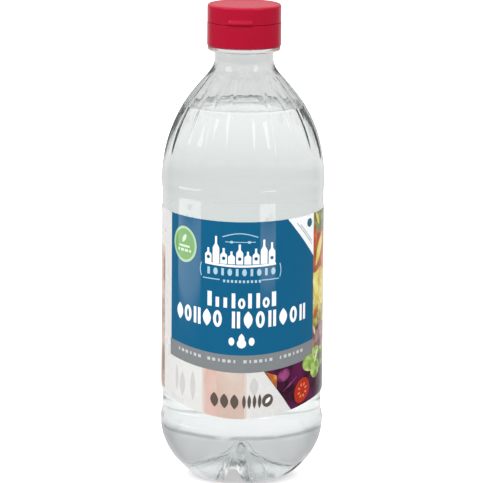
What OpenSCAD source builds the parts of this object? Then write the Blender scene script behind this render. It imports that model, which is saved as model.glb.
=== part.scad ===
// Half-litre clear bottle of distilled vinegar with a shut flip-top cap.
// It stands on the XY plane with its axis on Z, and its label faces -Y.

/* [Bottle body] */
// Height from the table to the top of the shut cap
total_h = 200; // [180:1:240]
// Diameter of the label panel
panel_d = 67.5; // [56:0.5:81]
// Thickness of the clear wall
wall = 0.5; // [0.4:0.05:1]
// How far the heel and the shoulder's widest ring stand out past the panel
bulge_out = 0.3; // [0:0.1:1]
// Depth of the waist groove between the label panel and the heel
waist_depth = 0.5; // [0:0.1:1.5]
// Height of the waist groove's narrowest line
waist_z = 32.5; // [30:0.5:36]
// Height of the straight bottom of the waist groove
waist_h = 4; // [1:0.5:8]
// Height of the blend on either side of the waist groove
waist_blend = 5; // [3:0.5:6]

/* [Shoulder] */
// Radius of the shoulder's round part
shoulder_r = 58.5; // [45:0.5:75]
// Slope of the shoulder's straight part, from the vertical
shoulder_slope = 38.5; // [32:0.5:48]
// Radius of the fillet between shoulder and neck
neck_fillet = 9; // [5:0.5:12]
// Height of the blend from the panel up to the widest ring
bulge_blend = 6; // [3:0.5:12]

/* [Shoulder ribs] */
// Number of raised ribs round the shoulder
rib_count = 20; // [8:1:28]
// How far a rib stands out of the shoulder
rib_out = 0.5; // [0.3:0.05:0.9]
// Width of a rib, as an angle round the axis
rib_angle = 4.6; // [2:0.2:8]
// Turn of the first rib from the front of the bottle
rib_turn = 6.5; // [0:0.5:18]
// Where the ribs start, above the widest ring
rib_from = 10; // [6:0.5:20]
// Where the ribs end, below the top of the neck fillet
rib_to = 7; // [4:0.5:12]

/* [Base] */
// Height of the widest line of the heel
heel_z = 24.5; // [20:0.5:27]
// Half height of the heel's elliptical curve
heel_drop = 28.8; // [27.5:0.1:34]
// Width of the flat that the bottle stands on
pad_w = 3; // [2:0.25:5]
// Height of the dome pushed up under the bottle
dome_h = 17; // [16.5:0.5:19]
// Number of feet, parted by channels
foot_count = 5; // [3:1:7]
// Radius of the rounded roof of a channel
channel_r = 2.2; // [1.5:0.1:3.5]
// Height of a channel's roof at the middle of the base
channel_mid_z = 15.2; // [12:0.1:15.2]
// Height of a channel's roof where it leaves the heel
channel_heel_z = 7.8; // [6:0.1:9]
// How far a channel's sides lean out, in degrees
channel_draft = 14; // [0:1:25]
// Turn of the first channel from the front of the bottle
foot_turn = -8; // [-36:1:36]

/* [Neck] */
// Diameter of the neck below the support ring
neck_d = 24.6; // [20:0.2:27]
// Thickness of the neck's wall
neck_wall = 1.6; // [1:0.1:2.5]
// Diameter of the support ring
ring_d = 30.4; // [28:0.2:33]
// Height of the support ring
ring_h = 1.7; // [1:0.1:3]

/* [Cap] */
// Diameter of the cap
cap_d = 31; // [29:0.5:34]
// Height of the cap, skirt and lid together
cap_h = 17.4; // [14:0.2:22]
// Height of the flip lid
lid_h = 7.6; // [5:0.2:9]
// Gap between the cap and the support ring
cap_gap = 0.2; // [0.1:0.05:0.5]
// Gap between the neck and the bore of the cap
neck_gap = 0.15; // [0.1:0.05:0.3]
// Rounding of the lid's top edge
lid_round = 1.3; // [0.6:0.1:2.5]
// Depth of the parting groove between lid and skirt
parting = 0.3; // [0.1:0.05:0.6]
// Width of the thumb lip at the front of the lid
lip_w = 10.5; // [6:0.5:16]
// How far the thumb lip stands out
lip_out = 0.8; // [0.4:0.1:1.5]
// Height of the thumb lip
lip_h = 1.5; // [1:0.1:3]
// Width of the film hinge at the back
hinge_w = 9; // [5:0.5:14]
// Thickness of the film hinge
hinge_t = 0.6; // [0.4:0.1:1]
// Height of the film hinge
hinge_h = 3.4; // [2:0.2:6]
// Turn of the thumb lip from the front of the bottle
cap_turn = -6.5; // [-180:0.5:180]

/* [Contents] */
// Depth of the vinegar's level below the support ring
fill_below_ring = 23.8; // [15:0.2:50]
// Gap kept between the vinegar and the wall
fill_gap = 0.08; // [0.05:0.01:0.2]

/* [Label] */
// Height of the label's lower edge at the front
label_z = 30.5; // [29:0.5:50]
// Height of the label at the front
label_h = 83; // [50:1:84]
// Thickness of the label film
label_t = 0.15; // [0.1:0.05:0.3]
// Gap that the glue fills under the label
label_gap = 0.05; // [0.03:0.01:0.1]
// How far the lower edge rises from the front to the sides
label_rise_low = 7.3; // [1:0.1:12]
// How far the upper edge rises from the front to the sides
label_rise_top = 1.7; // [0.5:0.1:4]

/* [Hidden] */
$fn = 96;

panel_r = panel_d / 2;
bulge_r = panel_r + bulge_out;
neck_r = neck_d / 2;
cap_r = cap_d / 2;

// Heights, stacked down from the top of the cap
cap_z = total_h - cap_h;
split_z = total_h - lid_h;
ring_z = cap_z - cap_gap - ring_h;
neck_top = split_z - cap_gap;
neck_straight = 3.3;
fillet_top = ring_z - neck_straight;
level_z = ring_z - fill_below_ring;

// The shoulder goes up from the widest ring: round part, straight part, fillet
round_in = shoulder_r * (1 - cos(shoulder_slope));
fillet_in = neck_fillet * (1 - cos(shoulder_slope));
straight_l = (bulge_r - round_in - neck_r - fillet_in) / sin(shoulder_slope);
shoulder_h = (shoulder_r + neck_fillet) * sin(shoulder_slope) + straight_l * cos(shoulder_slope);
bulge_z = fillet_top - shoulder_h;

// The heel's ellipse meets the table at this radius
pad_out = bulge_r * sqrt(1 - pow(heel_z / heel_drop, 2));
pad_edge = 0.9;
dome_r = pad_out - pad_edge - pad_w;

// A channel leaves the heel at this share of the standing radius
channel_run = 1.5;

// The waist groove runs between these heights, and the panel starts above it
waist_low = waist_z - waist_h / 2;
waist_top = waist_z + waist_h / 2;
waist_r = panel_r - waist_depth;

// Steps along the curves of the half sections and of the label's edges
shoulder_steps = 20;
fillet_steps = 6;
heel_steps = 16;
dome_steps = 8;
blend_steps = 4;
edge_steps = 10;
round_steps = 6;

// The heel's curve starts this far round its quarter turn, in degrees
heel_start = 8;

// A rib's crest fades at its ends with this power of a sine, and its root is bedded in the wall
rib_fade = 0.4;
rib_bed = 0.2;

// The thumb lip starts inside the lid, and its lower edge stands out this share of its reach
lip_bed = 0.5;
lip_low_share = 0.7;

// The label's outline runs a little past the bottle's sides, as a share of the panel's radius
outline_reach = 1.02;

// A smooth step from a to b, as a cosine, for t from 0 to 1
function ease(a, b, t) = a + (b - a) * (1 - cos(180 * min(1, max(0, t)))) / 2;

// Radius of the body at height z, from the heel's widest line to the shoulder's
function body_r(z) =
    z < waist_z ? ease(bulge_r, waist_r, (z - waist_low + waist_blend) / waist_blend)
    : z < bulge_z - bulge_blend ? ease(waist_r, panel_r, (z - waist_top) / waist_blend)
    : ease(panel_r, bulge_r, (z - bulge_z + bulge_blend) / bulge_blend);

// Half section of the shoulder, from the widest ring up to the neck
function shoulder_path() = concat(
    [for (i = [1 : shoulder_steps])
        let (a = shoulder_slope * i / shoulder_steps)
        [bulge_r - shoulder_r * (1 - cos(a)), bulge_z + shoulder_r * sin(a)]],
    [for (i = [0 : fillet_steps])
        let (a = shoulder_slope * (1 - i / fillet_steps))
        [neck_r + neck_fillet * (1 - cos(a)), fillet_top - neck_fillet * sin(a)]]);

// Half section of the base: dome, standing flat and elliptical heel
function base_path() = concat(
    [for (i = [0 : dome_steps])
        let (t = i / dome_steps)
        [dome_r * t, ease(dome_h, 0, t)]],
    [[pad_out - pad_edge, 0]],
    [for (i = [0 : heel_steps])
        let (a = heel_start + (90 - heel_start) * i / heel_steps)
        let (z = heel_z * (1 - cos(a)))
        [bulge_r * sqrt(1 - pow((heel_z - z) / heel_drop, 2)), z]]);

// Half section of the body between heel and shoulder
function body_path() = [for (z = concat(
        [for (i = [1 : blend_steps]) waist_low - waist_blend * (1 - i / blend_steps)],
        [for (i = [0 : blend_steps]) waist_top + waist_blend * i / blend_steps],
        [for (i = [0 : blend_steps]) bulge_z - bulge_blend * (1 - i / blend_steps)]))
    [body_r(z), z]];

function outer_path() = concat(base_path(), body_path(), shoulder_path());

// Unit normal of a path at point i, to the left of its run
function normal(p, i) =
    let (d = p[min(i + 1, len(p) - 1)] - p[max(i - 1, 0)])
    [-d[1], d[0]] / norm(d);

// A path moved inwards by a distance, with its first point kept on the axis
function inset(p, by) = [for (i = [0 : len(p) - 1])
    let (q = p[i] + by * normal(p, i))
    i == 0 ? [0, q[1]] : q];

// A channel between two feet: a round roof that leans gently up to the middle, with flared sides
module channel(by) {
    roof_r = channel_r + by;
    lean = atan((channel_mid_z - channel_heel_z) / (channel_run * pad_out));
    flare = channel_mid_z * tan(channel_draft);
    translate([0, 0, channel_mid_z - channel_r])
        rotate([-90 - lean, 0, 0])
            linear_extrude(bulge_r + channel_r) {
                circle(roof_r);
                polygon([
                    [-roof_r, 0],
                    [-roof_r - flare, channel_mid_z],
                    [roof_r + flare, channel_mid_z],
                    [roof_r, 0]]);
            }
}

module channels(by) {
    for (i = [0 : foot_count - 1])
        rotate(180 + foot_turn + 360 * i / foot_count)
            channel(by);
}

// The bottle's form up to the neck, moved inwards by a distance
module form(by) {
    path = inset(outer_path(), by);
    last = path[len(path) - 1];
    difference() {
        rotate_extrude()
            polygon(concat(path, [[last[0], fillet_top + 1], [0, fillet_top + 1]]));
        channels(by);
    }
}

// One raised rib: a sector of a thin strip that follows the shoulder and fades at both ends
module rib() {
    low = bulge_z + rib_from;
    top = fillet_top - rib_to;
    run = [for (p = shoulder_path()) if (p[1] > low && p[1] < top) p];
    n = len(run);
    crest = [for (i = [0 : n - 1])
        run[i] - normal(run, i) * rib_out * pow(sin(180 * (i + 0.5) / n), rib_fade)];
    root = [for (i = [0 : n - 1])
        run[n - 1 - i] + normal(run, n - 1 - i) * rib_bed];
    rotate(-rib_angle / 2)
        rotate_extrude(angle = rib_angle)
            polygon(concat(crest, root));
}

module bottle() {
    color([0.86, 0.9, 0.9, 0.35])
        difference() {
            union() {
                form(0);
                translate([0, 0, fillet_top])
                    cylinder(r = neck_r, h = neck_top - fillet_top);
                translate([0, 0, ring_z])
                    cylinder(d = ring_d, h = ring_h);
                for (i = [0 : rib_count - 1])
                    rotate(-90 + rib_turn + 360 * i / rib_count)
                        rib();
            }
            form(wall);
            translate([0, 0, fillet_top])
                cylinder(r = neck_r - neck_wall, h = neck_top);
        }
}

module vinegar() {
    color([0.93, 0.95, 0.94, 0.5])
        intersection() {
            form(wall + fill_gap);
            cylinder(r = 2 * bulge_r, h = level_z);
        }
}

// The skirt of the cap, bored to fit over the neck
module cap() {
    color([0.71, 0.1, 0.22])
        translate([0, 0, cap_z])
            rotate_extrude()
                polygon([
                    [neck_r + neck_gap, 0],
                    [cap_r - parting, 0],
                    [cap_r, parting],
                    [cap_r, cap_h - lid_h - parting],
                    [cap_r - parting, cap_h - lid_h],
                    [neck_r + neck_gap, cap_h - lid_h]]);
}

// A part of a turn, centred on a direction from the front, that carries a half section
module sector(turn, width) {
    a = 2 * asin(width / cap_d);
    rotate(-90 + turn - a / 2)
        rotate_extrude(angle = a)
            children();
}

module lid() {
    color([0.71, 0.1, 0.22])
        translate([0, 0, split_z])
            union() {
                rotate_extrude()
                    polygon(concat(
                        [[0, 0], [cap_r - parting, 0], [cap_r, parting]],
                        [for (i = [0 : round_steps])
                            let (a = 90 * i / round_steps)
                            [cap_r - lid_round * (1 - cos(a)), lid_h - lid_round * (1 - sin(a))]],
                        [[0, lid_h]]));
                sector(cap_turn, lip_w)
                    polygon([
                        [cap_r - lip_bed, parting],
                        [cap_r + lip_out * lip_low_share, parting],
                        [cap_r + lip_out, lip_h / 2],
                        [cap_r - lip_bed, lip_h + lip_out]]);
                sector(cap_turn + 180, hinge_w)
                    polygon([
                        [cap_r, -hinge_h / 2],
                        [cap_r + hinge_t, -hinge_h / 2 + hinge_t],
                        [cap_r + hinge_t, hinge_h / 2 - hinge_t],
                        [cap_r, hinge_h / 2]]);
            }
}

// Height of a label edge at side distance x: it rises from the front as the square of the sine round the axis
function edge_z(z, rise, x) = z + rise * pow(x / panel_r, 2);

// The label's outline from the front, carried right through the bottle along Y
module label_outline() {
    sides = [for (i = [-edge_steps : edge_steps]) outline_reach * panel_r * i / edge_steps];
    rotate([90, 0, 0])
        linear_extrude(4 * panel_r, center = true)
            polygon(concat(
                [for (x = sides) [x, edge_z(label_z, label_rise_low, x)]],
                [for (x = sides) [-x, edge_z(label_z + label_h, label_rise_top, x)]]));
}

// A sleeve of film that follows the panel and the waist groove
module label() {
    heights = concat(
        [for (i = [0 : blend_steps]) waist_low - waist_blend * (1 - i / blend_steps)],
        [for (i = [0 : blend_steps]) waist_top + waist_blend * i / blend_steps],
        [label_z + label_h + 2 * label_rise_top]);
    inner = [for (z = heights) [body_r(z) + label_gap, z]];
    outer = [for (i = [len(inner) - 1 : -1 : 0]) inner[i] + [label_t, 0]];
    color([0.1, 0.4, 0.58])
        intersection() {
            rotate_extrude()
                polygon(concat(inner, outer));
            label_outline();
        }
}

bottle();
vinegar();
cap();
lid();
label();
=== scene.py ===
import bpy
import numpy as np
from mathutils import Matrix, Vector


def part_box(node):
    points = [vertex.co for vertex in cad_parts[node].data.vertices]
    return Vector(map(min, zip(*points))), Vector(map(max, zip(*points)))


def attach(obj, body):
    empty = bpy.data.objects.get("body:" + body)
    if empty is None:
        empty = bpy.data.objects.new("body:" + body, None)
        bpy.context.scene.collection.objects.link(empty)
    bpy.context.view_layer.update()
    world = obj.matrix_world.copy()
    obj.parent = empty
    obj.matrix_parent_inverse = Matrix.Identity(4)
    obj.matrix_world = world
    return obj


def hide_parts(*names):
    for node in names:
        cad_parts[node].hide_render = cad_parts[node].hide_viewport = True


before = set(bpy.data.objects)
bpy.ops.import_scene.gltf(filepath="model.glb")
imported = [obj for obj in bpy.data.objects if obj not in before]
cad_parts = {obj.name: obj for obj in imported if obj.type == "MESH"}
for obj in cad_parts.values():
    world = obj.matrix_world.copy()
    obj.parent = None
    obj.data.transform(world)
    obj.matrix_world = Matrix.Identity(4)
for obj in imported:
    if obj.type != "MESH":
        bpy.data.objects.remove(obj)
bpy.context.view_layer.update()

# A clear half-litre bottle of white vinegar with a shut crimson flip-top cap and a printed wrap label.
# Lengths are metres. Angles round the bottle run from its front (-Y), positive towards +X.

mm = 0.001
bottleLow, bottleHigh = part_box("bottle")
capLow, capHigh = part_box("cap")
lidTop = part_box("lid")[1].z
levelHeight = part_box("vinegar")[1].z

bulgeRadius = min(bottleHigh.x, -bottleLow.x)
capBottom = capLow.z
splitHeight = capHigh.z


def ease(a, b, t):
    # a + (b - a) (1 - cos(pi t)) / 2, with t held between 0 and 1
    return a + (b - a) * (1 - np.cos(np.pi * np.clip(t, 0, 1))) / 2


def smoothMax(a, b, reach):
    # max(a, b) + reach h^2 / 4, where h = 1 - |a - b| / reach, held above 0
    h = np.clip(1 - np.abs(a - b) / reach, 0, None)
    return np.maximum(a, b) + reach * h * h / 4


def aroundAxis(radius, angle, height):
    # x = r sin(angle), y = -r cos(angle), z = height
    radius, angle, height = np.broadcast_arrays(radius, angle, height)
    return np.stack([radius * np.sin(angle), -radius * np.cos(angle), height], axis=-1)


def softCorners(corners, steps=5):
    # Each corner C becomes (1-t)^2 A + 2t(1-t) C + t^2 B, where A and B lie its cut away along both sides
    corners = np.array(corners, float)
    points, cuts = corners[:, :2], corners[:, 2]
    t = np.linspace(0, 1, steps + 1)[:, None]
    path = []
    for i, (point, cut) in enumerate(zip(points, cuts)):
        if cut == 0:
            path.append(point[None])
            continue
        before, after = points[i - 1], points[i + 1]
        a = point + (before - point) * cut / np.linalg.norm(before - point)
        b = point + (after - point) * cut / np.linalg.norm(after - point)
        path.append((1 - t) ** 2 * a + 2 * t * (1 - t) * point + t ** 2 * b)
    return np.concatenate(path)


def gridFaces(rows, columns, wrapColumns, wrapRows=False):
    # Quads between neighbours (i, j), (i, j+1), (i+1, j+1), (i+1, j)
    i, j = np.meshgrid(
        np.arange(rows if wrapRows else rows - 1),
        np.arange(columns if wrapColumns else columns - 1), indexing="ij")
    nextI, nextJ = (i + 1) % rows, (j + 1) % columns
    corners = [i * columns + j, i * columns + nextJ, nextI * columns + nextJ, nextI * columns + j]
    return np.stack(corners, axis=-1).reshape(-1, 4)


def meshArrays(points, quads, triangles=None):
    # One row for each point, with the faces of four corners and those of three
    triangles = np.zeros((0, 3), int) if triangles is None else triangles
    return points.reshape(-1, 3), quads, triangles


def turned(grid, wrapRows=False, poles=(False, False)):
    # A grid that closes round the axis. A pole row becomes one point with a fan of triangles.
    rows, columns = grid.shape[:2]
    first, last = int(poles[0]), rows - int(poles[1])
    body = grid[first:last]
    quads = gridFaces(len(body), columns, True, wrapRows)
    points = [body.reshape(-1, 3)]
    fans = []
    j = np.arange(columns)
    nextJ = (j + 1) % columns
    for isPole, row, rim in ((poles[0], 0, 0), (poles[1], rows - 1, len(body) - 1)):
        if not isPole:
            continue
        tip = sum(len(part) for part in points)
        points.append(grid[row].mean(axis=0)[None])
        edge = [rim * columns + nextJ, rim * columns + j]
        fans.append(np.stack([np.full(columns, tip)] + (edge if row == 0 else edge[::-1]), axis=-1))
    triangles = np.concatenate(fans) if fans else None
    return meshArrays(np.concatenate(points), quads, triangles)


def slab(front, back):
    # A thin closed plate between two open grids of the same size
    rows, columns = front.shape[:2]
    count = rows * columns
    face = gridFaces(rows, columns, False)
    index = np.arange(count).reshape(rows, columns)
    rim = np.concatenate([index[0, :-1], index[:-1, -1], index[-1, :0:-1], index[:0:-1, 0]])
    follow = np.roll(rim, -1)
    side = np.stack([follow, rim, rim + count, follow + count], axis=-1)
    points = np.concatenate([front.reshape(-1, 3), back.reshape(-1, 3)])
    return meshArrays(points, np.concatenate([face, face[:, ::-1] + count, side]))


def joined(parts):
    # Several mesh arrays as one, with the later indices moved up
    offsets = np.cumsum([0] + [len(part[0]) for part in parts[:-1]])
    points = np.concatenate([part[0] for part in parts])
    quads = np.concatenate([part[1] + offset for part, offset in zip(parts, offsets)])
    triangles = np.concatenate([part[2] + offset for part, offset in zip(parts, offsets)])
    return points, quads, triangles


def signedVolume(points, faces):
    # Sum of P0 . (P1 x P2) / 6 over the triangles of each face
    total = 0.0
    for k in range(1, faces.shape[1] - 1):
        a, b, c = points[faces[:, 0]], points[faces[:, k]], points[faces[:, k + 1]]
        total += float((a * np.cross(b, c)).sum()) / 6
    return total


def addPiece(name, arrays, material, replacing=(), crease=0.0):
    # A mesh whose faces are turned outwards when the volume they enclose comes out negative
    points, quads, triangles = arrays
    if signedVolume(points, quads) + signedVolume(points, triangles) < 0:
        quads, triangles = quads[:, ::-1], triangles[:, ::-1]
    mesh = bpy.data.meshes.new(name)
    mesh.vertices.add(len(points))
    mesh.vertices.foreach_set("co", points.astype(np.float32).ravel())
    mesh.loops.add(quads.size + triangles.size)
    corners = np.concatenate([quads.ravel(), triangles.ravel()])
    mesh.loops.foreach_set("vertex_index", corners.astype(np.int32))
    mesh.polygons.add(len(quads) + len(triangles))
    starts = np.concatenate([np.arange(len(quads)) * 4, quads.size + np.arange(len(triangles)) * 3])
    mesh.polygons.foreach_set("loop_start", starts.astype(np.int32))
    mesh.polygons.foreach_set("use_smooth", np.ones(len(starts), bool))
    mesh.update(calc_edges=True)
    mesh.validate()
    if crease:
        mesh.set_sharp_from_angle(angle=np.radians(crease))
    mesh.materials.append(material)
    piece = bpy.data.objects.new(name, mesh)
    bpy.context.scene.collection.objects.link(piece)
    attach(piece, "root")
    if replacing:
        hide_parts(*replacing)
    return piece


def feed(tree, socket, value):
    # The socket is linked to another node's output, or holds a number or a colour of three numbers
    if isinstance(value, bpy.types.NodeSocket):
        tree.links.new(value, socket)
    elif isinstance(value, tuple):
        socket.default_value = (*value, 1)
    else:
        socket.default_value = value


def mathNode(tree, operation, *values):
    node = tree.nodes.new("ShaderNodeMath")
    node.operation = operation
    for socket, value in zip(node.inputs, values):
        feed(tree, socket, value)
    return node.outputs[0]


def rampNode(tree, value, low, high, toLow=0.0, toHigh=1.0, easing="LINEAR"):
    # toLow up to low, toHigh from high on, and an even or smooth rise between them
    node = tree.nodes.new("ShaderNodeMapRange")
    node.interpolation_type = easing
    for socket, number in zip(node.inputs, (value, low, high, toLow, toHigh)):
        feed(tree, socket, number)
    return node.outputs[0]


def mixNode(tree, fac, first, second, kind="FLOAT"):
    # first + fac (second - first), for numbers or for colours
    node = tree.nodes.new("ShaderNodeMix")
    node.data_type = kind
    place = {"FLOAT": 2, "RGBA": 6}[kind]
    feed(tree, node.inputs[0], fac)
    feed(tree, node.inputs[place], first)
    feed(tree, node.inputs[place + 1], second)
    return node.outputs[place // 3]


def scaleNode(tree, colour, amount):
    # colour x amount
    node = tree.nodes.new("ShaderNodeVectorMath")
    node.operation = "SCALE"
    feed(tree, node.inputs[0], colour)
    feed(tree, node.inputs["Scale"], amount)
    return node.outputs[0]


def noiseNode(tree, where, scale, detail=2.0):
    node = tree.nodes.new("ShaderNodeTexNoise")
    for socketName, value in (("Vector", where), ("Scale", scale), ("Detail", detail)):
        feed(tree, node.inputs[socketName], value)
    return node.outputs["Fac"]


def placeOn(tree):
    # The piece's own coordinates
    return tree.nodes.new("ShaderNodeTexCoord").outputs["Object"]


def splitPlace(tree, where):
    # x, y, z, and the distance from the axis, sqrt(x^2 + y^2)
    split = tree.nodes.new("ShaderNodeSeparateXYZ")
    tree.links.new(where, split.inputs[0])
    x, y, z = split.outputs
    square = mathNode(tree, "MULTIPLY_ADD", x, x, mathNode(tree, "MULTIPLY", y, y))
    return x, y, z, mathNode(tree, "SQRT", square)


def groupWith(name, inputs, outputs):
    # A node group whose inputs hold numbers, or a colour where the default is one, with both ends' sockets
    group = bpy.data.node_groups.new(name, "ShaderNodeTree")
    for socketName, default in inputs.items():
        kind = "NodeSocketColor" if isinstance(default, tuple) else "NodeSocketFloat"
        socket = group.interface.new_socket(name=socketName, in_out="INPUT", socket_type=kind)
        feed(group, socket, default)
    for socketName, kind in outputs.items():
        group.interface.new_socket(name=socketName, in_out="OUTPUT", socket_type="NodeSocket" + kind)
    return group, group.nodes.new("NodeGroupInput").outputs, group.nodes.new("NodeGroupOutput").inputs


def makeSurfaceGrain():
    # Uneven shade and gloss from one noise n:
    # colour = Colour x (1 + Shade (n - 1/2)), roughness = Gloss + Spread (n - 1/2)
    group, given, result = groupWith(
        "surfaceGrain", dict(Colour=(1, 1, 1), Scale=200.0, Shade=0.06, Gloss=0.3, Spread=0.1),
        dict(Colour="Color", Roughness="Float", Height="Float"))
    noise = noiseNode(group, placeOn(group), given["Scale"])
    centred = mathNode(group, "SUBTRACT", noise, 0.5)
    shade = mathNode(group, "MULTIPLY_ADD", centred, given["Shade"], 1.0)
    feed(group, result["Colour"], scaleNode(group, given["Colour"], shade))
    roughness = mathNode(group, "MULTIPLY_ADD", centred, given["Spread"], given["Gloss"])
    feed(group, result["Roughness"], roughness)
    feed(group, result["Height"], noise)
    return group


def makeWallRipple():
    # Slow swells of a blown wall with finer flow marks drawn out upwards:
    # height = noise(Scale) + Fine noise(6 Scale)
    group, given, result = groupWith("wallRipple", dict(Scale=60.0, Fine=0.3), dict(Height="Float"))
    stretch = group.nodes.new("ShaderNodeMapping")
    stretch.inputs["Scale"].default_value = (1, 1, 0.35)
    feed(group, stretch.inputs["Vector"], placeOn(group))
    swell = noiseNode(group, placeOn(group), given["Scale"], 1.0)
    fineScale = mathNode(group, "MULTIPLY", given["Scale"], 6.0)
    marks = noiseNode(group, stretch.outputs[0], fineScale, 1.0)
    feed(group, result["Height"], mathNode(group, "MULTIPLY_ADD", marks, given["Fine"], swell))
    return group


def makeBaseShadingMasks():
    # Masks for the painted shade and painted highlights on a channelled base: Zone lies below a wavering
    # height, and Line close to it, broken by a noise.
    # The distance to the nearest channel's middle is r sin(arccos(cos(Count (angle - Turn))) / Count). In
    # the lowest part of the base, Star is where it is under about 4 mm, and Edge where it is near 2.6 mm.
    group, given, result = groupWith(
        "baseShadingMasks", dict(Count=5.0, Turn=0.0, Height=22 * mm, Wobble=2 * mm),
        dict(Zone="Float", Star="Float", Edge="Float", Line="Float"))

    def math(operation, *values):
        return mathNode(group, operation, *values)

    def soft(value, low, high):
        return rampNode(group, value, low, high, easing="SMOOTHSTEP")

    where = placeOn(group)
    x, y, z, reach = splitPlace(group, where)
    angle = math("ARCTAN2", x, math("MULTIPLY", y, -1.0))
    wave = math("COSINE", math("MULTIPLY", math("SUBTRACT", angle, given["Turn"]), given["Count"]))
    noise = noiseNode(group, where, 55.0)
    waver = math("MULTIPLY", math("SUBTRACT", noise, 0.5), given["Wobble"])
    below = math("ADD", math("SUBTRACT", given["Height"], z), waver)
    offset = math("DIVIDE", math("ARCCOSINE", wave), given["Count"])
    across = math("MULTIPLY", math("SINE", offset), reach)
    foot = soft(below, 9.5 * mm, 12.5 * mm)
    ridge = math("ABSOLUTE", math("SUBTRACT", across, 2.6 * mm))
    line = soft(math("ABSOLUTE", below), 1.3 * mm, 0.2 * mm)
    feed(group, result["Zone"], soft(below, 0.0, 1.5 * mm))
    feed(group, result["Star"], math("MULTIPLY", soft(across, 4.8 * mm, 2.6 * mm), foot))
    feed(group, result["Edge"], math("MULTIPLY", soft(ridge, 0.7 * mm, 0.1 * mm), foot))
    feed(group, result["Line"], math("MULTIPLY", line, soft(noise, 0.38, 0.5)))
    return group


surfaceGrain = makeSurfaceGrain()
wallRipple = makeWallRipple()
baseShadingMasks = makeBaseShadingMasks()


def newMaterial(name):
    material = bpy.data.materials.new(name)
    material.use_nodes = True
    return material, material.node_tree, material.node_tree.nodes["Principled BSDF"]


def placeGroup(tree, group, values):
    node = tree.nodes.new("ShaderNodeGroup")
    node.node_tree = group
    for socketName, value in values.items():
        feed(tree, node.inputs[socketName], value)
    return node.outputs


def addBump(tree, shader, height, strength, distance):
    bump = tree.nodes.new("ShaderNodeBump")
    for socketName, value in (("Strength", strength), ("Distance", distance), ("Height", height)):
        feed(tree, bump.inputs[socketName], value)
    tree.links.new(bump.outputs["Normal"], shader.inputs["Normal"])


def clearMaterial(name, look):
    material, tree, shader = newMaterial(name)
    feed(tree, shader.inputs["Base Color"], look["tint"])
    shader.inputs["Transmission Weight"].default_value = 1.0
    shader.inputs["IOR"].default_value = look["ior"]
    shader.inputs["Roughness"].default_value = look["roughness"]
    ripple = placeGroup(tree, wallRipple, {"Scale": look["rippleScale"], "Fine": look["rippleFine"]})
    addBump(tree, shader, ripple["Height"], look["rippleStrength"], look["rippleDepth"])
    return material


def grained(tree, shader, colour, look):
    # The colour, a number triple or another node's output, with the grain's uneven shade and gloss
    grain = placeGroup(tree, surfaceGrain, {
        "Colour": colour, "Scale": look["scale"], "Shade": look["shade"], "Gloss": look["gloss"],
        "Spread": look["spread"]})
    tree.links.new(grain["Colour"], shader.inputs["Base Color"])
    tree.links.new(grain["Roughness"], shader.inputs["Roughness"])
    shader.inputs["Specular IOR Level"].default_value = look["specular"]
    return grain


def solidMaterial(name, colour, look):
    material, tree, shader = newMaterial(name)
    grain = grained(tree, shader, colour, look)
    addBump(tree, shader, grain["Height"], look["bump"], look["bumpDepth"])
    return material


stageLook = dict(
    elevation=10.0, distance=2.142, aimHeight=99.5 * mm, aimSide=-0.5 * mm, roll=0.42, lens=381.0,
    floorSize=6.0, floorShade=0.98, floorGlow=0.75, underGlow=0.9, underSeen=0.52,
    underReach=np.array([0.75, 0.95]) * bulgeRadius, seenReach=np.array([0.55, 0.8]) * bulgeRadius,
    skyDiffuse=0.96, skyThrough=0.76, floorThrough=0.75, skyBehind=0.8, skyAbove=1.0, skyBelow=0.22,
    key=dict(side=-42.0, rise=48.0, away=1.1, size=0.9, power=3.0),
    top=dict(side=0.0, rise=90.0, away=0.55, size=0.25, power=1.6))

# Soft boxes that show only as reflections: angle from the front, width as an angle, brightness and both ends
softBoxes = [
    dict(name="leftStrip", angle=-82.0, spread=42.0, glow=2.1, low=-0.185, high=-0.125),
    dict(name="rightStrip", angle=36.0, spread=22.5, glow=2.6, low=-0.168, high=-0.125),
    dict(name="leftBox", angle=-64.0, spread=26.0, glow=2.0, low=0.6, high=1.5),
    dict(name="rightBox", angle=48.0, spread=18.0, glow=2.4, low=0.5, high=1.5),
]


def makeCamera():
    # On the front side at distance from the aim, raised by elevation, and rolled a little
    data = bpy.data.cameras.new("camera")
    camera = bpy.data.objects.new("camera", data)
    bpy.context.scene.collection.objects.link(camera)
    bpy.context.scene.camera = camera
    rise = np.radians(stageLook["elevation"])
    aim = Vector((stageLook["aimSide"], 0, stageLook["aimHeight"]))
    camera.location = aim + stageLook["distance"] * Vector((0, -np.cos(rise), np.sin(rise)))
    facing = (aim - camera.location).to_track_quat("-Z", "Y")
    roll = Matrix.Rotation(np.radians(stageLook["roll"]), 3, "Z")
    camera.rotation_euler = (facing.to_matrix() @ roll).to_euler()
    data.lens = stageLook["lens"]
    data.clip_end = 20


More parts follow.
